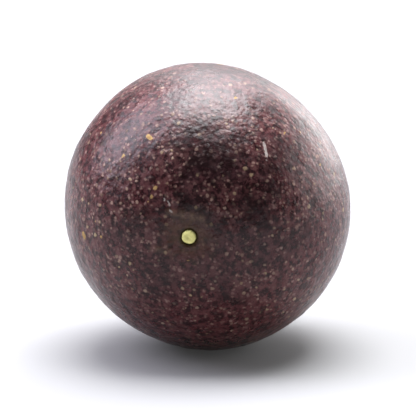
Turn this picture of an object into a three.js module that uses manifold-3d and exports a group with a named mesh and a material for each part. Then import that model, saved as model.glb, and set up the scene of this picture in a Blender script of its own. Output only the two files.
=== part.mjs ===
// A whole purple passion fruit, lying on its side with its stem end to the front.
//
// The rind is one closed, nearly round skin. It is a little longer than it is wide and slightly
// oval round the middle, it is dished at the stem end, and at the blossom end it holds the small
// dry base of the style. It rests on a small flat spot.
// What is left of the stem sits in the dish as a short plug.
//
// Millimetres. +Z is up, -Y is the stem end, and +X is to the right seen from the stem end.
// The origin is the middle of the base, on the surface that the fruit lies on.

import * as THREE from "three";
import { mergeVertices } from "three/addons/utils/BufferGeometryUtils.js";
import Module from "manifold-3d";

// ---- Driving dimensions ----

const GIRTH_RADIUS = 27; // mean radius round the middle
const HALF_LENGTH = 28.8; // from the middle to either pole, before the ends are shaped
const EGG_SHARE = 0.02; // how much fuller the stem half is than the blossom half

// Round the middle: [waves in a turn, share of the radius, phase in degrees]
const LOBES = [
  [2, 0.0155, 96],
  [3, 0.0034, 52],
  [4, 0.0047, 14],
];

// Low swells all over: [half waves from pole to pole, waves in a turn, height, phase in degrees]
const SWELLS = [
  [4, 2, 0.12, 40],
  [4, 5, 0.08, 200],
  [6, 3, 0.07, 115],
  [5, 7, 0.05, 300],
];

const STEM_FLAT_DEPTH = 0.5; // the stem end is flattened over a broad round
const STEM_FLAT_SPREAD = 9;
const STEM_DISH_DEPTH = 0.8; // and dished round the stub
const STEM_DISH_SPREAD = 3.5;
const COLLAR_HEIGHT = 0.16; // the lip of rind round the stub
const COLLAR_RADIUS = 1.95;
const COLLAR_SPREAD = 0.5;

const SEAT_RADIUS = 1.42; // the place in the rind that the stub grows out of
const SEAT_DEPTH = 1.6;
const STUB_RADIUS = 1.35;
const STUB_PROUD = 0.85; // how far the stub stands out of the lip of its seat
const STUB_EDGE = 0.75; // rounding of its broken end
const STUB_PIT_RADIUS = 0.35; // the soft pith in the middle of the stub has sunk
const STUB_PIT_DEPTH = 0.12;
const CLEARANCE = 0.06; // kept between the end of the stub and the floor of its seat

const BLOSSOM_DISH_DEPTH = 0.45;
const BLOSSOM_DISH_SPREAD = 3.4;
const NUB_HEIGHT = 0.75; // the dry base of the style
const NUB_RADIUS = 0.95;

const REST_CUT = 0.65; // how far the skin is pressed flat where the fruit rests

const ROWS = 50; // rings of faces from the lip of the seat to the blossom pole
const COLUMNS = 72;
const POLE_CROWDING = 0.11; // the rings lie closer together at the two ends
const STUB_COLUMNS = 24;
const STUB_EDGE_STEPS = 4;

// ---- The skin, as a formula ----

const rad = THREE.MathUtils.degToRad;
const bell = (x, spread) => Math.exp(-((x / spread) ** 2));
const wavesOf = (waves, t, phase) => Math.cos(waves * t + rad(phase));

// The radius at polar angle a from the stem pole, before the lobes.
const plainRadius = (a) => GIRTH_RADIUS * Math.sin(a) * (1 + EGG_SHARE * Math.cos(a));

// The place along the axis at polar angle a and radius r, before the swells.
function plainPlace(a, r) {
  const c = Math.cos(a);
  if (c > 0) {
    const flat = STEM_FLAT_DEPTH * bell(r, STEM_FLAT_SPREAD);
    const dish = STEM_DISH_DEPTH * bell(r, STEM_DISH_SPREAD);
    const collar = COLLAR_HEIGHT * bell(r - COLLAR_RADIUS, COLLAR_SPREAD);
    return c * (flat + dish - collar - HALF_LENGTH);
  }
  const dish = BLOSSOM_DISH_DEPTH * bell(r, BLOSSOM_DISH_SPREAD);
  const nub = NUB_HEIGHT * Math.exp(-((r / NUB_RADIUS) ** 4));
  return c * (dish - nub - HALF_LENGTH);
}

// The point of the skin at polar angle a from the stem pole and turn t round the axis.
function skinPoint(a, t) {
  const s = Math.sin(a);
  const lobe = LOBES.reduce((sum, [n, share, phase]) => sum + share * wavesOf(n, t, phase), 0);
  const swell = SWELLS.reduce((sum, [m, n, h, phase]) => sum + h * Math.sin(m * a) * wavesOf(n, t, phase), 0);
  const grown = 1 + (s * swell) / GIRTH_RADIUS;
  const r = plainRadius(a) * (1 + s * s * lobe);
  return new THREE.Vector3(r * Math.cos(t), plainPlace(a, r), r * Math.sin(t)).multiplyScalar(grown);
}

// ---- The rind ----

const lipAngle = Math.asin(SEAT_RADIUS / GIRTH_RADIUS / (1 + EGG_SHARE));
const lipRadius = plainRadius(lipAngle);
const lipPlace = plainPlace(lipAngle, lipRadius);
const seatFloor = lipPlace + SEAT_DEPTH;

// The polar angle of each ring, from the lip of the seat to the blossom pole.
const ringAngles = Array.from({ length: ROWS + 1 }, (_, i) => {
  const crowded = i / ROWS - POLE_CROWDING * Math.sin((2 * Math.PI * i) / ROWS);
  return lipAngle + (Math.PI - lipAngle) * crowded;
});

// A lathe of the plain profile and the seat, whose rings are then moved to the skin's formula.
function rindGeometry() {
  const seat = [new THREE.Vector2(0, seatFloor), new THREE.Vector2(lipRadius, seatFloor)];
  const rings = ringAngles.map((a) => new THREE.Vector2(plainRadius(a), plainPlace(a, plainRadius(a))));
  rings[ROWS].x = 0;
  const profile = [...seat, ...rings];
  const geometry = new THREE.LatheGeometry(profile, COLUMNS);
  const place = geometry.getAttribute("position");
  for (let i = 0; i < place.count; i++) {
    const ring = (i % profile.length) - seat.length;
    if (ring > 0 && ring < ROWS) {
      const turn = Math.atan2(place.getZ(i), place.getX(i));
      place.setXYZ(i, ...skinPoint(ringAngles[ring], turn));
    }
  }
  return geometry;
}

// ---- The stub of the stem ----

function stubGeometry() {
  const top = lipPlace - STUB_PROUD;
  const bottom = seatFloor - CLEARANCE;
  const profile = [new THREE.Vector2(0, top + STUB_PIT_DEPTH), new THREE.Vector2(STUB_PIT_RADIUS, top)];
  for (let i = 0; i <= STUB_EDGE_STEPS; i++) {
    const turn = (i / STUB_EDGE_STEPS) * (Math.PI / 2);
    const r = STUB_RADIUS - STUB_EDGE * (1 - Math.sin(turn));
    profile.push(new THREE.Vector2(r, top + STUB_EDGE * (1 - Math.cos(turn))));
  }
  profile.push(new THREE.Vector2(STUB_RADIUS, bottom), new THREE.Vector2(0, bottom));
  return new THREE.LatheGeometry(profile, STUB_COLUMNS);
}

// ---- Cutting the flat spot ----

const wasm = await Module();
wasm.setup();

function solidOf(geometry) {
  const merged = mergeVertices(geometry.clone().deleteAttribute("normal").deleteAttribute("uv"), 1e-4);
  const vertProperties = new Float32Array(merged.getAttribute("position").array);
  const triVerts = new Uint32Array(merged.index.array);
  return new wasm.Manifold(new wasm.Mesh({ numProp: 3, vertProperties, triVerts }));
}

function geometryOf(solid) {
  const mesh = solid.getMesh();
  const geometry = new THREE.BufferGeometry();
  geometry.setAttribute("position", new THREE.BufferAttribute(new Float32Array(mesh.vertProperties), 3));
  geometry.setIndex(new THREE.BufferAttribute(new Uint32Array(mesh.triVerts), 1));
  geometry.computeVertexNormals();
  return geometry;
}

function cutBelow(geometry, height) {
  const side = 4 * GIRTH_RADIUS;
  const block = new THREE.BoxGeometry(side, side, side);
  block.translate(0, 0, height - side / 2);
  return geometryOf(solidOf(geometry).subtract(solidOf(block)));
}

// ---- The fruit ----

const skin = rindGeometry();
skin.computeBoundingBox();
const restHeight = skin.boundingBox.min.z + REST_CUT;

const rind = new THREE.Mesh(
  cutBelow(skin, restHeight),
  new THREE.MeshStandardMaterial({ color: 0x4b2f36, roughness: 0.42, metalness: 0 }),
);
rind.name = "rind";

const stub = new THREE.Mesh(
  stubGeometry(),
  new THREE.MeshStandardMaterial({ color: 0xd8d070, roughness: 0.75, metalness: 0 }),
);
stub.name = "stem_stub";

const fruit = new THREE.Group();
fruit.add(rind, stub);
const middle = new THREE.Box3().setFromObject(fruit).getCenter(new THREE.Vector3());
fruit.position.set(-middle.x, -middle.y, -restHeight);

export default fruit;
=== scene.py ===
"""A whole purple passion fruit, lying on a pale floor in soft studio light.

Metres, with +Z up and the stem end of the fruit at -Y.
"""

import bpy
import numpy as np
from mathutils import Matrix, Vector


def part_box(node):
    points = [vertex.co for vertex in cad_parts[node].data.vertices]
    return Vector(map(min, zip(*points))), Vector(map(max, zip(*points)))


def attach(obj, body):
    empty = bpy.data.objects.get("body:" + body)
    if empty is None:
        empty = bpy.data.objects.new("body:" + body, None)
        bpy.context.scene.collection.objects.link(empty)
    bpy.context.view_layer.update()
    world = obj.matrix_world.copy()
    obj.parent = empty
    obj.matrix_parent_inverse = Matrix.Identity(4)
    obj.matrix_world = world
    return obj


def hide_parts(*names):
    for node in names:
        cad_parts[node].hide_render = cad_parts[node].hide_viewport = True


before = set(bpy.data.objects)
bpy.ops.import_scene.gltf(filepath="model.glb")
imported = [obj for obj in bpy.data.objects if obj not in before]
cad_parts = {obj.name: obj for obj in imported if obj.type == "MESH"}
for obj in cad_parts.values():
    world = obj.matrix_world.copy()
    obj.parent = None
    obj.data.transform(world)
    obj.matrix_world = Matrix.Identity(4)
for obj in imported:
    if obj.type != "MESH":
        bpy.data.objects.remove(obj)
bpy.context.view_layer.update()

MM = 0.001


# ---- The rind ----
# The whole skin of the fruit, which grew as one piece: tough and leathery, a few millimetres thick,
# dark plum to maroon and thickly speckled. It is dished and faintly pleated where it meets the stem,
# drawn to a small dry nub at the blossom end, and pressed flat where it lies.

GIRTH_RADIUS = 27 * MM
HALF_LENGTH = 28.8 * MM
EGG_SHARE = 0.02
LOBES = ((2, 0.0155, 96), (3, 0.0034, 52), (4, 0.0047, 14))  # waves in a turn, share, degrees
SWELLS = (  # half waves from pole to pole, waves in a turn, height, degrees
    (4, 2, 0.12 * MM, 40),
    (4, 5, 0.08 * MM, 200),
    (6, 3, 0.07 * MM, 115),
    (5, 7, 0.05 * MM, 300),
)
STEM_FLAT_DEPTH, STEM_FLAT_SPREAD = 0.5 * MM, 9 * MM
STEM_DISH_DEPTH, STEM_DISH_SPREAD = 0.8 * MM, 3.5 * MM
COLLAR_HEIGHT, COLLAR_RADIUS, COLLAR_SPREAD = 0.16 * MM, 1.95 * MM, 0.5 * MM
BLOSSOM_DISH_DEPTH, BLOSSOM_DISH_SPREAD = 0.45 * MM, 3.4 * MM
NUB_HEIGHT, NUB_RADIUS = 0.75 * MM, 0.95 * MM
SEAT_RADIUS, SEAT_DEPTH = 1.42 * MM, 1.6 * MM
REST_CUT, REST_SOFTNESS = 0.65 * MM, 0.22 * MM

RIND_COLUMNS, RIND_ROWS = 424, 228
ROW_CROWDING = 0.03  # draws the rows together towards both ends


def bell(x, spread):
    """One at nought, falling away on both sides: e to minus the square of x over spread."""
    return np.exp(-((x / spread) ** 2))


def plain_radius(a):
    """Distance from the axis at polar angle a from the stem: a sine, fuller towards the stem."""
    return GIRTH_RADIUS * np.sin(a) * (1 + EGG_SHARE * np.cos(a))


def plain_place(a, r):
    """Place along the axis: an ellipse, less the flat and the dish at the stem end, plus the
    collar round the stem, and less a dish plus a nub at the blossom end."""
    c = np.cos(a)
    flat = STEM_FLAT_DEPTH * bell(r, STEM_FLAT_SPREAD)
    dish = STEM_DISH_DEPTH * bell(r, STEM_DISH_SPREAD)
    collar = COLLAR_HEIGHT * bell(r - COLLAR_RADIUS, COLLAR_SPREAD)
    stem_end = c * (flat + dish - collar - HALF_LENGTH)
    nub = NUB_HEIGHT * np.exp(-((r / NUB_RADIUS) ** 4))
    blossom_end = c * (BLOSSOM_DISH_DEPTH * bell(r, BLOSSOM_DISH_SPREAD) - nub - HALF_LENGTH)
    return np.where(c > 0, stem_end, blossom_end)


def skin(a, t):
    """Points of the skin at polar angle a from the stem and turn t round the axis: the plain
    profile with its radius swollen by the lobes, then grown by low swells."""
    s = np.sin(a)
    lobe = sum(share * np.cos(n * t + np.radians(phase)) for n, share, phase in LOBES)
    swell = sum(
        height * np.sin(m * a) * np.cos(n * t + np.radians(phase)) for m, n, height, phase in SWELLS
    )
    r = plain_radius(a) * (1 + s * s * lobe)
    points = np.stack([r * np.cos(t), plain_place(a, r), r * np.sin(t)], axis=-1)
    return points * (1 + s * swell / GIRTH_RADIUS)[..., None]


def outward(points):
    """Unit vectors from the middle of the fruit."""
    return points / np.linalg.norm(points, axis=-1, keepdims=True)


def grain(points, wavelength, seed, waves=40):
    """Leathery unevenness: a sum of plane waves in random directions, all of nearly one wavelength,
    scaled to an even spread of one."""
    rng = np.random.default_rng(seed)
    ways = rng.normal(size=(waves, 3))
    ways *= (rng.uniform(0.75, 1.3, waves) / np.linalg.norm(ways, axis=1))[:, None]
    phases = rng.uniform(0, 2 * np.pi, waves)
    return np.cos(points @ ways.T * (2 * np.pi / wavelength) + phases).sum(axis=-1) * (2 / waves) ** 0.5


def direction(from_stem, clock):
    """The way out of the fruit at so many degrees from the stem, and turned so many degrees from
    the right, anticlockwise as seen from the stem end."""
    a, t = np.radians(from_stem), np.radians(clock)
    return np.stack([np.sin(a) * np.cos(t), -np.cos(a), np.sin(a) * np.sin(t)], axis=-1)


def nearest_edge(ways, spots):
    """Distance along the skin to the nearest spot's edge, less than nought inside it. A spot is
    long one way: its distance is that from a short line through its middle."""
    nearest = np.full(ways.shape[:-1], 1.0)
    for from_stem, clock, radius, length, lean in spots:
        out = direction(from_stem, clock)
        along = np.cross(out, direction(from_stem + 90, clock))
        along = along * np.cos(np.radians(lean)) + np.cross(out, along) * np.sin(np.radians(lean))
        offset = (ways - out) * GIRTH_RADIUS
        run = np.clip(offset @ along, -length / 2, length / 2)
        gap = np.linalg.norm(offset - run[..., None] * along, axis=-1) - radius
        nearest = np.minimum(nearest, gap)
    return nearest


# Corky spots, scratches and folds: degrees from the stem, clock degrees, radius, length, lean in
# degrees
CORK_SPOTS = [
    (42.3, 115.7, 0.4 * MM, 0.75 * MM, 113),
    (41.6, 134, 0.28 * MM, 0.2 * MM, 0),
    (22.2, 126.3, 0.3 * MM, 0.35 * MM, 20),
    (20.6, 135, 0.26 * MM, 0.3 * MM, 20),
    (20.2, 141, 0.15 * MM, 0.1 * MM, 20),
    (49, 186.4, 0.6 * MM, 0.35 * MM, 20),
    (37.2, 185.4, 0.26 * MM, 0.25 * MM, 60),
    (40.4, 176.4, 0.18 * MM, 0.1 * MM, 0),
    (61.8, 138.5, 0.26 * MM, 0.2 * MM, 0),
    (59.3, 46.6, 0.25 * MM, 0.3 * MM, 80),
    (8.8, 268, 0.15 * MM, 0.3 * MM, 0),
]
SCRATCHES = [
    (46, 48.8, 0.3 * MM, 2.4 * MM, 137),
    (43, 45, 0.12 * MM, 0.9 * MM, 120),
    (14.6, 121, 0.14 * MM, 0.9 * MM, 85),
    (11.8, 125, 0.11 * MM, 0.7 * MM, 105),
    (16.8, 124, 0.1 * MM, 0.5 * MM, 60),
]
FOLDS = [(8.4, 98.6, 0, 6 * MM, -20), (12, 205, 0, 3 * MM, 60)]

# Broad patches, maroon above nought and near black below: degrees from the stem, clock degrees,
# radius, strength
TONES = [
    (25, 81, 5.5 * MM, -1.0),
    (29, 30, 4.5 * MM, -0.2),
    (40, 106, 4 * MM, -0.7),
    (38, 67, 4.5 * MM, -0.7),
    (24, 132, 3.5 * MM, 0.9),
    (13, 126, 3 * MM, 0.8),
    (52, 167, 5 * MM, 1.0),
    (41, 202, 6 * MM, 0.5),
    (43, 281, 9 * MM, 0.8),
    (80, 92, 10 * MM, -0.8),
    (68, 5, 8 * MM, 1.1),
    (50, 42, 5 * MM, -0.5),
    (58, 330, 9 * MM, 1.2),
    (66, 207, 8 * MM, -0.2),
]

# More spots, scratches and broad patches, strewn by chance over the sides and the blossom end
SPARE_SPOTS, SPARE_SCRATCHES, SPARE_TONES = 34, 9, 26
scatter = np.random.default_rng(11)
for _ in range(SPARE_SPOTS):
    CORK_SPOTS.append(
        (
            np.degrees(np.arccos(scatter.uniform(-0.97, 0.5))),
            scatter.uniform(0, 360),
            scatter.uniform(0.14, 0.42) * MM,
            scatter.uniform(0, 0.7) * MM,
            scatter.uniform(0, 180),
        )
    )
for _ in range(SPARE_SCRATCHES):
    SCRATCHES.append(
        (
            scatter.uniform(60, 150),
            scatter.uniform(0, 360),
            scatter.uniform(0.07, 0.14) * MM,
            scatter.uniform(1, 4.5) * MM,
            scatter.uniform(0, 180),
        )
    )
for _ in range(SPARE_TONES):
    TONES.append(
        (
            np.degrees(np.arccos(scatter.uniform(-1, 0.3))),
            scatter.uniform(0, 360),
            scatter.uniform(4, 9) * MM,
            scatter.uniform(-1, 1),
        )
    )

PEEL_HEIGHTS = (  # wavelength, height, seed
    (9 * MM, 0.02 * MM, 1),
    (4.2 * MM, 0.016 * MM, 2),
    (2.2 * MM, 0.013 * MM, 3),
)
PEEL_FADE = 0.12  # radians from the lip in which the relief comes up
CORK_HEIGHT, CORK_SHOULDER = 0.07 * MM, 0.25 * MM
SCRATCH_DEPTH = 0.03 * MM
PLEAT_HEIGHT, PLEAT_RADIUS, PLEAT_SPREAD = 0.028 * MM, 3.2 * MM, 2 * MM
PLEATS = ((9, 1.0, 0.4), (14, 0.8, 2.0), (23, 0.5, 1.0))  # waves in a turn, share, phase
FOLD_HEIGHT, FOLD_SPREAD = 0.1 * MM, 0.6 * MM


def waves_round(turn, waves):
    """A sum of cosine waves round the axis: of each, its waves in a turn, share and phase."""
    return sum(share * np.cos(count * turn + phase) for count, share, phase in waves)


def pleats(points):
    """Low pleats that run out from the stem: waves in a turn round the axis, strongest a few
    millimetres from it."""
    turn = np.arctan2(points[..., 2], points[..., 0])
    ring = bell(np.hypot(points[..., 0], points[..., 2]) - PLEAT_RADIUS, PLEAT_SPREAD)
    return PLEAT_HEIGHT * waves_round(turn, PLEATS) * np.where(points[..., 1] < 0, ring, 0)


def relief(points, cork, scratch, fold):
    """How far the skin stands out of its smooth form: peel at three sizes, pleats and folds round
    the stem, raised corky spots and shallow scratches."""
    peel = sum(height * grain(points, length, seed) for length, height, seed in PEEL_HEIGHTS)
    raised = CORK_HEIGHT * np.clip(0.5 - cork / CORK_SHOULDER, 0, 1)
    sunk = SCRATCH_DEPTH * np.clip(0.5 - scratch / CORK_SHOULDER, 0, 1)
    folds = FOLD_HEIGHT * bell(fold, FOLD_SPREAD)
    return peel + pleats(points) + folds + raised - sunk


lip_angle = np.arcsin(SEAT_RADIUS / GIRTH_RADIUS / (1 + EGG_SHARE))
lip_place = plain_place(lip_angle, SEAT_RADIUS)
rows = np.linspace(0, 1, RIND_ROWS + 1)[:, None]
turns = np.linspace(0, 2 * np.pi, RIND_COLUMNS, endpoint=False)[None, :]
crowded = rows - ROW_CROWDING * np.sin(2 * np.pi * rows)
polar = lip_angle + (np.pi - lip_angle) * crowded + 0 * turns
smooth = skin(polar, turns + 0 * polar)
ways = outward(smooth)
cork_edge = nearest_edge(ways, CORK_SPOTS)
scratch_edge = nearest_edge(ways, SCRATCHES)
fold_gap = nearest_edge(ways, FOLDS)
fade = np.clip((polar - lip_angle) / PEEL_FADE, 0, 1) ** 2
surface = smooth + ways * (fade * relief(smooth, cork_edge, scratch_edge, fold_gap))[..., None]

# The skin bends softly into the floor, and is then moved to where the solid lies.
low, high = (np.array(corner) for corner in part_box("rind"))
floor_level = smooth[..., 2].min() + REST_CUT
height = surface[..., 2] - floor_level
surface[..., 2] = floor_level + 0.5 * (height + np.hypot(height, REST_SOFTNESS))
middle = (smooth.min(axis=(0, 1)) + smooth.max(axis=(0, 1))) / 2
shift = (low + high) / 2 - middle
shift[2] = -floor_level


def closed_grid(name, grid, ends):
    """A mesh of a grid that goes round in its columns, closed at its first and last row by a fan
    to the two end points."""
    count, columns = grid.shape[:2]
    points = np.concatenate([grid.reshape(-1, 3), np.array(ends)])
    here = np.arange(columns)
    after = (here + 1) % columns
    starts = np.arange(count - 1)[:, None] * columns
    nexts = starts + columns
    quads = np.stack([starts + here, starts + after, nexts + after, nexts + here], -1)
    first = np.stack([np.full(columns, count * columns), after, here], -1)
    last_row = (count - 1) * columns
    last = np.stack([np.full(columns, count * columns + 1), last_row + here, last_row + after], -1)
    faces = quads.reshape(-1, 4).tolist() + first.tolist() + last.tolist()
    mesh = bpy.data.meshes.new(name)
    mesh.from_pydata(points, [], faces)
    mesh.shade_smooth()
    made = bpy.data.objects.new(name, mesh)
    bpy.context.scene.collection.objects.link(made)
    return made


def add_field(piece, name, values):
    """Keeps one number for each point of the piece, for its finish to read."""
    kept = piece.data.attributes.new(name, "FLOAT", "POINT")
    kept.data.foreach_set("value", values.astype(np.float32))


SNUG_RADIUS = 1.3 * MM  # the skin closes on the stub just under the lip
seat_rows = np.array([1.0, 0.55, 0.12])[:, None]  # shares of the seat's depth
seat_wall = np.stack(
    [
        SNUG_RADIUS * np.cos(turns) + 0 * seat_rows,
        lip_place + SEAT_DEPTH * seat_rows + 0 * turns,
        SNUG_RADIUS * np.sin(turns) + 0 * seat_rows,
    ],
    axis=-1,
)
rind_grid = np.concatenate([seat_wall, surface[:-1]]) + shift
seat_floor = np.array([0, lip_place + SEAT_DEPTH, 0]) + shift
blossom_pole = surface[-1, 0] + shift
rind = closed_grid("rind_skin", rind_grid, [seat_floor, blossom_pole])


def over_all(values, at_seat, at_pole):
    """A field of the skin's rows, carried on over the seat and the two end points."""
    seat = np.full(seat_wall.shape[:2], at_seat)
    return np.concatenate([seat.ravel(), values[:-1].ravel(), [at_seat, at_pole]])


FAR = 50.0  # millimetres, further than any finish reaches
axis_gap = np.hypot(smooth[..., 0], smooth[..., 2]) / MM
tone = sum(
    strength * bell(np.linalg.norm(ways - direction(from_stem, clock), axis=-1) * GIRTH_RADIUS, radius)
    for from_stem, clock, radius, strength in TONES
)
add_field(rind, "stem_gap", over_all(np.where(smooth[..., 1] < 0, axis_gap, FAR), 0, FAR))
add_field(rind, "nub_gap", over_all(np.where(smooth[..., 1] > 0, axis_gap, FAR), FAR, 0))
add_field(rind, "cork_edge", over_all(cork_edge / MM, FAR, FAR))
add_field(rind, "scratch_edge", over_all(scratch_edge / MM, FAR, FAR))
add_field(rind, "fold_gap", over_all(fold_gap / MM, FAR, FAR))
add_field(rind, "tone", over_all(tone, 0, 0))


def paint(red, green, blue):
    """A colour given as on a screen, from 0 to 255, as the shader's light."""
    shares = np.array([red, green, blue]) / 255
    linear = np.where(shares < 0.04045, shares / 12.92, ((shares + 0.055) / 1.055) ** 2.4)
    return (*linear.tolist(), 1.0)


PLUM, MAROON = paint(25, 8, 11), paint(51, 18, 22)
# The first red is painted sheen round the girth; the second is partly the underside's own colour and partly
# painted bounce light
PAINTED_GIRTH_SHEEN_RED, UNDERSIDE_RED_AND_BOUNCE = paint(100, 39, 44), paint(104, 43, 47)
CLOUD_LILAC = paint(73, 42, 50)
MOTTLE_LIGHT, MOTTLE_DARK = paint(113, 78, 75), paint(22, 5, 6)
LARGE_SPECKS = paint(142, 116, 110), paint(160, 138, 106)
SMALL_SPECKS = paint(131, 99, 96), paint(149, 123, 108)
FINE_SPECKS = paint(95, 55, 59)
PORES = paint(24, 6, 7)
# The second olive is painted shade in the crease round the stub's foot
STAIN_OLIVE, FOOT_SHADE_OLIVE = paint(90, 64, 44), paint(46, 41, 17)
# Partly the folds' own tan, partly a painted highlight where their ridges catch the light
FOLD_TAN_AND_HIGHLIGHT = paint(118, 94, 76)
CORK_OCHRES = paint(124, 85, 42), paint(185, 158, 107)
SCRATCH_GREY = paint(163, 153, 148)
NUB_SHADE = paint(38, 19, 17)
NUB_BROWNS = paint(99, 62, 34), paint(163, 123, 79)
PEBBLE_SPACING = 0.88 * MM


def feed(tree, socket, value):
    """Fills a socket with a number or colour, or links it to another node's output."""
    if isinstance(value, bpy.types.NodeSocket):
        tree.links.new(value, socket)
    else:
        socket.default_value = value


def pattern(tree, kind, out, feeds, **settings):
    """Adds a node with its settings and fed sockets, and returns the output asked for."""
    node = tree.nodes.new(kind)
    for name, value in settings.items():
        setattr(node, name, value)
    for name, value in feeds.items():
        feed(tree, node.inputs[name], value)
    return node.outputs[out]


def combine(tree, operation, *terms):
    """One step of arithmetic on numbers and outputs."""
    return pattern(tree, "ShaderNodeMath", 0, dict(enumerate(terms)), operation=operation)


def times(tree, product, *factors):
    """Numbers and outputs multiplied together, from the left."""
    for factor in factors:
        product = combine(tree, "MULTIPLY", product, factor)
    return product


def vector_step(tree, operation, *terms, out="Vector"):
    """One step of arithmetic on places, ways and outputs."""
    return pattern(tree, "ShaderNodeVectorMath", out, dict(enumerate(terms)), operation=operation)


def ramp(tree, value, start, end, low=0.0, high=1.0):
    """Goes smoothly from low to high as value goes from start to end."""
    feeds = {"Value": value, "From Min": start, "From Max": end, "To Min": low, "To Max": high}
    return pattern(tree, "ShaderNodeMapRange", "Result", feeds, interpolation_type="SMOOTHSTEP")


def over(tree, share, under, top):
    """Lays the top colour over the one under it, by share."""
    return pattern(tree, "ShaderNodeMix", 2, {0: share, 6: under, 7: top}, data_type="RGBA")


def noise(tree, place, size, detail=2.0, roughness=0.5, out=0):
    """Soft unevenness with patches about as wide as size: one number, or three as a colour."""
    feeds = {"Vector": place, "Scale": 1 / size, "Detail": detail, "Roughness": roughness}
    return pattern(tree, "ShaderNodeTexNoise", out, feeds)


def field(tree, name):
    """A field kept on the piece's points."""
    return pattern(tree, "ShaderNodeAttribute", "Fac", {}, attribute_name=name)


def specks(tree, place, spacing, radius, spread, edge):
    """Round specks, one to a cell of the given spacing, of random radius. Returns how much of a
    speck each point has, and two random numbers for each speck."""
    feeds = {"Vector": place, "Scale": 1 / spacing}
    cells = pattern(tree, "ShaderNodeTexVoronoi", "Color", feeds).node.outputs
    chance = pattern(tree, "ShaderNodeSeparateColor", "Red", {"Color": cells["Color"]}).node.outputs
    smallest, largest = (radius - spread) / spacing, (radius + spread) / spacing
    size = ramp(tree, chance["Red"], 0.0, 1.0, smallest, largest)
    inside = combine(tree, "SUBTRACT", size, cells["Distance"])
    return ramp(tree, inside, -edge / spacing, edge / spacing), chance["Green"], chance["Blue"]


def loosened(tree, place):
    """Places that wander by up to 0.3 millimetres each way, and the same drawn out along the
    fruit, so that what is laid on them isn't even."""
    wander = noise(tree, place, 0.6 * MM, 3.0, 0.55, out="Color")
    offset = vector_step(tree, "SUBTRACT", wander, (0.5, 0.5, 0.5))
    wandering = vector_step(tree, "MULTIPLY_ADD", offset, (0.6 * MM,) * 3, place)
    return wandering, vector_step(tree, "MULTIPLY", wandering, (1, 0.65, 1))


def ground_colour(tree, place, stem_gap, nub_gap, toned):
    """Near-black plum with maroon patches and faint lilac clouds. Redder and lighter round the
    girth, which is painted sheen for the reddish glow of the edges seen end on, and on the
    underside, partly the skin's own paler side and partly painted bounce light from the floor."""
    patches = ramp(tree, toned, 0.3, 0.68)
    # Painted sheen: the reddish glow at the skin's edges, seen end on, laid into its colour round the girth
    girth = ramp(tree, stem_gap, 13.0, 26.0, 0.0, 0.42)
    girth = times(tree, girth, ramp(tree, toned, 0.25, 0.6, 0.4, 1.0))
    girth = times(tree, girth, ramp(tree, nub_gap, 10.0, 27.0, 0.15, 1.0))
    clouds = ramp(tree, noise(tree, place, 3.2 * MM, 3.0, 0.6), 0.36, 0.68, 0.0, 0.2)
    up = pattern(tree, "ShaderNodeSeparateXYZ", "Z", {"Vector": place})
    # Lighter and redder underneath: partly the skin's own paler side, partly painted bounce light from the
    # floor
    underside = ramp(tree, up, 40 * MM, 8 * MM, 0.0, 0.34)
    underside = times(tree, underside, ramp(tree, toned, 0.25, 0.6, 0.5, 1.0))
    ground = over(tree, patches, PLUM, MAROON)
    ground = over(tree, girth, ground, PAINTED_GIRTH_SHEEN_RED)
    ground = over(tree, clouds, ground, CLOUD_LILAC)
    return over(tree, underside, ground, UNDERSIDE_RED_AND_BOUNCE)


def mottled(tree, colour, mottle, kept, calm):
    """Light and dark mottling in the grain of the skin, a millimetre or so wide."""
    light = ramp(tree, mottle, 0.42, 0.66, 0.0, 0.38)
    dark = ramp(tree, mottle, 0.54, 0.38, 0.0, 0.8)
    colour = over(tree, times(tree, light, kept), colour, MOTTLE_LIGHT)
    return over(tree, times(tree, dark, calm), colour, MOTTLE_DARK)


def speckled(tree, colour, wandering, drawn_out, mottle, kept):
    """Pale specks of three sizes, fainter near the stem, and dark pores. Also returns how much of
    a large and of a small speck each point has."""
    large, large_hue, large_drop = specks(tree, drawn_out, 1.4 * MM, 0.24 * MM, 0.12 * MM, 0.12 * MM)
    small, small_hue, small_drop = specks(
        tree, wandering, PEBBLE_SPACING, 0.27 * MM, 0.08 * MM, 0.1 * MM
    )
    fine, _, fine_drop = specks(tree, drawn_out, 0.36 * MM, 0.12 * MM, 0.04 * MM, 0.05 * MM)
    pores, _, _ = specks(tree, drawn_out, 0.9 * MM, 0.17 * MM, 0.08 * MM, 0.08 * MM)
    fine_share = times(tree, kept, ramp(tree, fine_drop, 0.0, 1.0, 0.0, 0.6))
    small_share = times(tree, kept, ramp(tree, small_drop, 0.0, 1.0, 0.2, 0.95))
    small_share = times(tree, small_share, ramp(tree, mottle, 0.4, 0.56, 0.25, 1.0))
    large_share = times(tree, kept, ramp(tree, large_drop, 0.0, 1.0, 0.0, 0.9))
    colour = over(tree, times(tree, fine, fine_share), colour, FINE_SPECKS)
    small_colour = over(tree, small_hue, *SMALL_SPECKS)
    colour = over(tree, times(tree, small, small_share), colour, small_colour)
    colour = over(tree, times(tree, pores, 0.7), colour, PORES)
    large_colour = over(tree, large_hue, *LARGE_SPECKS)
    return over(tree, times(tree, large, large_share), colour, large_colour), large, small


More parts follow.
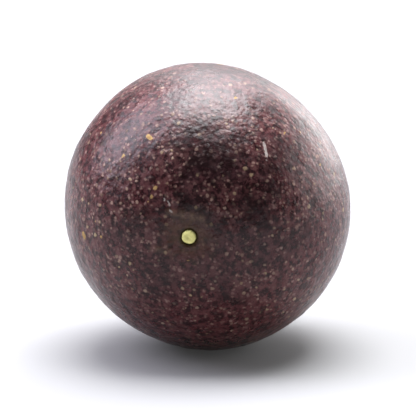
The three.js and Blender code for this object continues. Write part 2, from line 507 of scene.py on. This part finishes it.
def stained(tree, colour, place, stem_gap):
    """A blotchy olive-brown stain and two tan folds round the stem, the folds' tan partly their own
    colour and partly a painted highlight on their ridges, and a dark olive ring of painted shade in
    the crease at its foot.
    """
    stain = combine(tree, "MULTIPLY_ADD", noise(tree, place, 3.2 * MM, 3.0, 0.6), 4.0, stem_gap)
    blotches = ramp(tree, noise(tree, place, 1.1 * MM, 3.0, 0.6), 0.36, 0.6, 0.3, 1.0)
    halo = times(tree, ramp(tree, stain, 3.0, 8.5, 0.65, 0.0), blotches)
    # The folds' tan is partly their own colour and partly a painted highlight on their ridges
    fold = times(tree, ramp(tree, field(tree, "fold_gap"), 0.0, 1.0, 0.45, 0.0), blotches)
    uneven = combine(tree, "ADD", stem_gap, noise(tree, place, 1.6 * MM, 3.0, 0.6))
    # Painted shade: a dark olive ring in the crease round the foot of the stub
    ring = ramp(tree, uneven, 1.7, 2.8, 0.85, 0.0)
    colour = over(tree, halo, colour, STAIN_OLIVE)
    colour = over(tree, fold, colour, FOLD_TAN_AND_HIGHLIGHT)
    return over(tree, ring, colour, FOOT_SHADE_OLIVE)


def scarred(tree, colour, place, nub_gap):
    """Ochre corky spots, grey scratches and the brown nub, all with ragged edges. Also returns how
    corky each point is."""
    ragged = times(tree, combine(tree, "SUBTRACT", noise(tree, place, 0.5 * MM), 0.5), 0.5)
    cork_gap = combine(tree, "ADD", field(tree, "cork_edge"), ragged)
    scratch_gap = combine(tree, "ADD", field(tree, "scratch_edge"), ragged)
    nub_edge = combine(tree, "ADD", nub_gap, ragged)
    cork = ramp(tree, cork_gap, 0.08, -0.1)
    colour = over(tree, cork, colour, over(tree, noise(tree, place, 0.35 * MM), *CORK_OCHRES))
    colour = over(tree, ramp(tree, scratch_gap, 0.06, -0.08, 0.0, 0.8), colour, SCRATCH_GREY)
    colour = over(tree, ramp(tree, nub_edge, 3.4, 1.0, 0.0, 0.75), colour, NUB_SHADE)
    nub_colour = over(tree, noise(tree, place, 0.5 * MM, 3.0), *NUB_BROWNS)
    return over(tree, ramp(tree, nub_edge, 1.15, 0.75), colour, nub_colour), cork


def satin(tree, place, large, small, cork):
    """Roughness of the skin: satin, duller on the specks and dull on the cork."""
    gloss = ramp(tree, noise(tree, place, 2.5 * MM, 3.0), 0.3, 0.7, 0.26, 0.34)
    dull = times(tree, combine(tree, "MAXIMUM", large, small), 0.1)
    rough = combine(tree, "ADD", gloss, dull)
    return combine(tree, "MAXIMUM", rough, times(tree, cork, 0.8))


def fine_relief(tree, place, wandering, large, cork):
    """Relief too fine for the mesh: pebbles close together, which the specks lie on, a fine grain,
    and large specks and cork that stand out a little."""
    feeds = {"Vector": wandering, "Scale": 1 / PEBBLE_SPACING, "Smoothness": 0.6}
    pebbles = pattern(tree, "ShaderNodeTexVoronoi", "Distance", feeds, feature="SMOOTH_F1")
    fine_grain = times(tree, noise(tree, place, 0.55 * MM, 3.0, 0.6), 0.9)
    proud = times(tree, combine(tree, "ADD", large, cork), 0.25)
    lift = combine(tree, "ADD", combine(tree, "SUBTRACT", fine_grain, pebbles), proud)
    feeds = {"Strength": 1.0, "Distance": 0.078 * MM, "Height": lift}
    return pattern(tree, "ShaderNodeBump", "Normal", feeds)


def rind_finish():
    """Mottled and speckled plum skin, stained round the stem, with corky spots, scratches and a
    satin gloss, and with painted sheen, bounce light, highlight and shade laid into its colour.
    Specks and mottling fade near the stem, in dark patches and towards the nub."""
    finish = bpy.data.materials.new("speckled_rind")
    finish.use_nodes = True
    tree = finish.node_tree
    shader = tree.nodes["Principled BSDF"]
    place = pattern(tree, "ShaderNodeTexCoord", "Object", {})
    wandering, drawn_out = loosened(tree, place)
    stem_gap, nub_gap = field(tree, "stem_gap"), field(tree, "nub_gap")
    loose = noise(tree, place, 7 * MM, 4.0, 0.55)
    toned = combine(tree, "MULTIPLY_ADD", field(tree, "tone"), 0.2, loose)
    mottle = noise(tree, wandering, 1.3 * MM, 2.5, 0.6)

    crowd = ramp(tree, noise(tree, place, 5 * MM, 3.0), 0.35, 0.65, 0.55, 1.0)
    bold = ramp(tree, stem_gap, 1.5, 8.0, 0.35, 1.0)
    calm = ramp(tree, nub_gap, 12.0, 30.0, 0.6, 1.0)
    kept = times(tree, crowd, bold, ramp(tree, toned, 0.25, 0.6, 0.3, 1.3), calm)

    colour = ground_colour(tree, place, stem_gap, nub_gap, toned)
    colour = mottled(tree, colour, mottle, kept, calm)
    colour, large, small = speckled(tree, colour, wandering, drawn_out, mottle, kept)
    colour = stained(tree, colour, place, stem_gap)
    colour, cork = scarred(tree, colour, place, nub_gap)
    feed(tree, shader.inputs["Base Color"], colour)
    feed(tree, shader.inputs["Roughness"], satin(tree, place, large, small, cork))
    feed(tree, shader.inputs["Normal"], fine_relief(tree, place, wandering, large, cork))
    shader.inputs["IOR"].default_value = 1.335
    shader.inputs["Coat Weight"].default_value = 0.11
    shader.inputs["Coat Roughness"].default_value = 0.14
    shader.inputs["Coat IOR"].default_value = 1.25
    return finish


rind.data.materials.append(rind_finish())
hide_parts("rind")
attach(rind, "root")


# ---- The stub of the stem ----
# What is left of the stem after the fruit came away: a short, round, woody-green plug that grew
# out of the rind. Its end broke off unevenly, with a paler face and a sunken pith.

STUB_RADIUS = 1.36 * MM
STUB_PROUD = 0.85 * MM
STUB_EDGE = 0.75 * MM
STUB_PIT_RADIUS, STUB_PIT_DEPTH = 0.35 * MM, 0.12 * MM
STUB_FACE_INNER = 0.04 * MM
STUB_SUNK = 0.95  # share of the seat's depth that the stub goes down
STUB_COLUMNS = 120
STUB_SIDE_ROWS, STUB_EDGE_ROWS, STUB_FACE_ROWS = 10, 9, 16
STUB_RIBS, RIB_DIP = ((9, 0.012, 0.6), (14, 0.01, 2)), 0.018  # waves in a turn, share, phase
STUB_TEARS, TEAR_DIP = ((2, 0.07, 0.8), (3, 0.05, 2.1), (5, 0.03, 0)), 0.05
CRUMBLE_HEIGHT, CRUMBLE_SIZE, CRUMBLE_SEED = 0.03 * MM, 0.7 * MM, 21
CRUMBLE_START = 0.6  # in seat depths above the stub's bottom
STUB_FACES = paint(220, 212, 108), paint(242, 238, 172)
STUB_SIDE = paint(92, 92, 32)

stub_top = lip_place - STUB_PROUD
stub_bottom = lip_place + SEAT_DEPTH * STUB_SUNK
edge_turn = np.linspace(0, np.pi / 2, STUB_EDGE_ROWS)
side_places = np.linspace(stub_bottom, stub_top + STUB_EDGE, STUB_SIDE_ROWS)[:-1]
face_radii = np.linspace(STUB_RADIUS - STUB_EDGE, STUB_FACE_INNER, STUB_FACE_ROWS)[1:]
stub_radii = np.concatenate(
    [np.full(side_places.shape, STUB_RADIUS), STUB_RADIUS - STUB_EDGE * (1 - np.cos(edge_turn)), face_radii]
)
stub_places = np.concatenate(
    [
        side_places,
        stub_top + STUB_EDGE * (1 - np.sin(edge_turn)),
        stub_top + STUB_PIT_DEPTH * bell(face_radii, STUB_PIT_RADIUS),
    ]
)
stub_turns = np.linspace(0, 2 * np.pi, STUB_COLUMNS, endpoint=False)[None, :]
ribs = waves_round(stub_turns, STUB_RIBS) - RIB_DIP
torn = waves_round(stub_turns, STUB_TEARS) - TEAR_DIP
outside = np.clip((lip_place - stub_places) / STUB_PROUD, 0, 1)[:, None]
ribbed = stub_radii[:, None] * (1 + ribs + torn * outside)
stub_grid = np.stack(
    [ribbed * np.cos(stub_turns), stub_places[:, None] + 0 * ribbed, ribbed * np.sin(stub_turns)], -1
)
broken = np.clip((stub_bottom - stub_places) / SEAT_DEPTH - CRUMBLE_START, 0, 1)[:, None]
stub_grid[..., 1] += CRUMBLE_HEIGHT * grain(stub_grid, CRUMBLE_SIZE, CRUMBLE_SEED) * broken
stub_ends = [np.array([0, stub_bottom, 0]), np.array([0, stub_top + STUB_PIT_DEPTH, 0])]
stub = closed_grid("stem_stub_end", stub_grid + shift, [end + shift for end in stub_ends])


def stub_finish():
    """Yellow-green broken wood, paler and drier on its face, olive down its side, with fibres."""
    finish = bpy.data.materials.new("green_stem")
    finish.use_nodes = True
    tree = finish.node_tree
    shader = tree.nodes["Principled BSDF"]
    place = pattern(tree, "ShaderNodeTexCoord", "Object", {})
    fibres = noise(tree, place, 0.25 * MM, 3.0, 0.65)
    depth = pattern(tree, "ShaderNodeSeparateXYZ", "Y", {"Vector": place})
    face_place = float(stub_top + shift[1])
    sunk = ramp(tree, depth, face_place + 0.15 * MM, face_place + 0.85 * MM)
    colour = over(tree, sunk, over(tree, fibres, *STUB_FACES), STUB_SIDE)
    feed(tree, shader.inputs["Base Color"], colour)
    feeds = {"Strength": 0.7, "Distance": 0.05 * MM, "Height": fibres}
    feed(tree, shader.inputs["Normal"], pattern(tree, "ShaderNodeBump", "Normal", feeds))
    shader.inputs["Roughness"].default_value = 0.7
    return finish


stub.data.materials.append(stub_finish())
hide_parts("stem_stub")
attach(stub, "root")


# ---- The floor ----
# One plain pale sheet of opal acrylic, lit faintly from beneath, and wide enough to fill the view
# from every side.

FLOOR_HALF = 8.0
floor_mesh = bpy.data.meshes.new("floor")
floor_corners = np.array([(-1, -1, 0), (1, -1, 0), (1, 1, 0), (-1, 1, 0)]) * FLOOR_HALF
floor_mesh.from_pydata(floor_corners.tolist(), [], [(0, 1, 2, 3)])
floor = bpy.data.objects.new("floor", floor_mesh)
bpy.context.scene.collection.objects.link(floor)
floor_finish = bpy.data.materials.new("pale_floor")
floor_finish.use_nodes = True
floor_shader = floor_finish.node_tree.nodes["Principled BSDF"]
floor_shader.inputs["Base Color"].default_value = (0.28, 0.28, 0.282, 1)
floor_shader.inputs["Emission Color"].default_value = (1, 1, 1, 1)
floor_shader.inputs["Emission Strength"].default_value = 0.03
floor_shader.inputs["Roughness"].default_value = 0.8
floor_shader.inputs["Specular IOR Level"].default_value = 0.05
floor_mesh.materials.append(floor_finish)


# ---- The light ----
# Soft-edged lit areas far off in a dim room: a wide softbox overhead, a lower one that slopes down
# behind the fruit, a tall strip high on the left, and behind on the right a broad backdrop, a wall
# and a small bright rim light. The side of the camera is dark.

DIM_ROOM = (0.1, 0.1, 0.104, 1)
LIT_AREAS = (  # middle, way of its width, half width, half height and blur in degrees, light
    ((0.45, 1, 0.5), (1, -0.45, 0), 46, 16, 12, (1.5, 1.5, 1.53, 1)),  # backdrop
    ((0.7, 0.71, 0.02), (0.71, -0.7, 0), 38, 28, 14, (2.95, 2.95, 2.98, 1)),  # wall
    ((0.42, 0.907, 0), (0.907, -0.42, 0), 15, 17, 6, (4.5, 4.5, 4.53, 1)),  # rim light
    ((-0.735, 0.14, 0.665), (0.12, -0.97, 0.2), 17, 23, 8, (8.0, 7.9, 9.1, 1)),  # strip
    ((0.02, 0.72, 0.695), (1, 0, 0), 18, 13, 9, (7.0, 7.0, 7.3, 1)),  # sloping softbox
    ((0.02, 0.27, 0.963), (1, 0, 0), 20, 18, 5, (19.5, 19.6, 20.2, 1)),  # overhead softbox
)
SEEN_BEHIND = (1.06, 1.06, 1.06, 1)  # the plain pale background that the camera sees


def window(tree, way, middle, side, half_side, half_top, blur):
    """How much a way out of the scene goes through a soft-edged rectangle round its middle: half
    sizes and blur in degrees."""
    middle = Vector(middle).normalized()
    side = (Vector(side) - Vector(side).dot(middle) * middle).normalized()
    ahead = vector_step(tree, "DOT_PRODUCT", way, tuple(middle), out="Value")
    share = ramp(tree, ahead, 0.0, 0.1)
    for axis, half in ((side, half_side), (middle.cross(side), half_top)):
        along = vector_step(tree, "DOT_PRODUCT", way, tuple(axis), out="Value")
        inner, outer = np.sin(np.radians([half - blur, half + blur]))
        aside = combine(tree, "ABSOLUTE", along)
        share = times(tree, share, ramp(tree, aside, float(outer), float(inner)))
    return share


world = bpy.data.worlds.new("surroundings")
bpy.context.scene.world = world
world.use_nodes = True
air = world.node_tree
way = pattern(air, "ShaderNodeTexCoord", "Generated", {})
around = DIM_ROOM
for *form, light in LIT_AREAS:
    around = over(air, window(air, way, *form), around, light)
seen = pattern(air, "ShaderNodeLightPath", "Is Camera Ray", {})
feed(air, air.nodes["Background"].inputs["Color"], over(air, seen, around, SEEN_BEHIND))


# ---- The camera ----
# A long lens, a little to the right of the stem end and a little above.

CAMERA_AZIMUTH, CAMERA_ELEVATION, CAMERA_DISTANCE = np.radians(7), np.radians(12), 0.8
FRAME_WIDTH = 79 * MM  # how much the view spans at the fruit
AIM = Vector((0, 0, 26 * MM))

lens = bpy.data.cameras.new("camera")
camera = bpy.data.objects.new("camera", lens)
bpy.context.scene.collection.objects.link(camera)
toward = Vector(
    (
        np.sin(CAMERA_AZIMUTH) * np.cos(CAMERA_ELEVATION),
        -np.cos(CAMERA_AZIMUTH) * np.cos(CAMERA_ELEVATION),
        np.sin(CAMERA_ELEVATION),
    )
)
camera.location = AIM + toward * CAMERA_DISTANCE
camera.rotation_euler = toward.to_track_quat("Z", "Y").to_euler()
lens.lens = lens.sensor_width * CAMERA_DISTANCE / FRAME_WIDTH
bpy.context.scene.camera = camera
bpy.context.scene.view_settings.view_transform = "Standard"
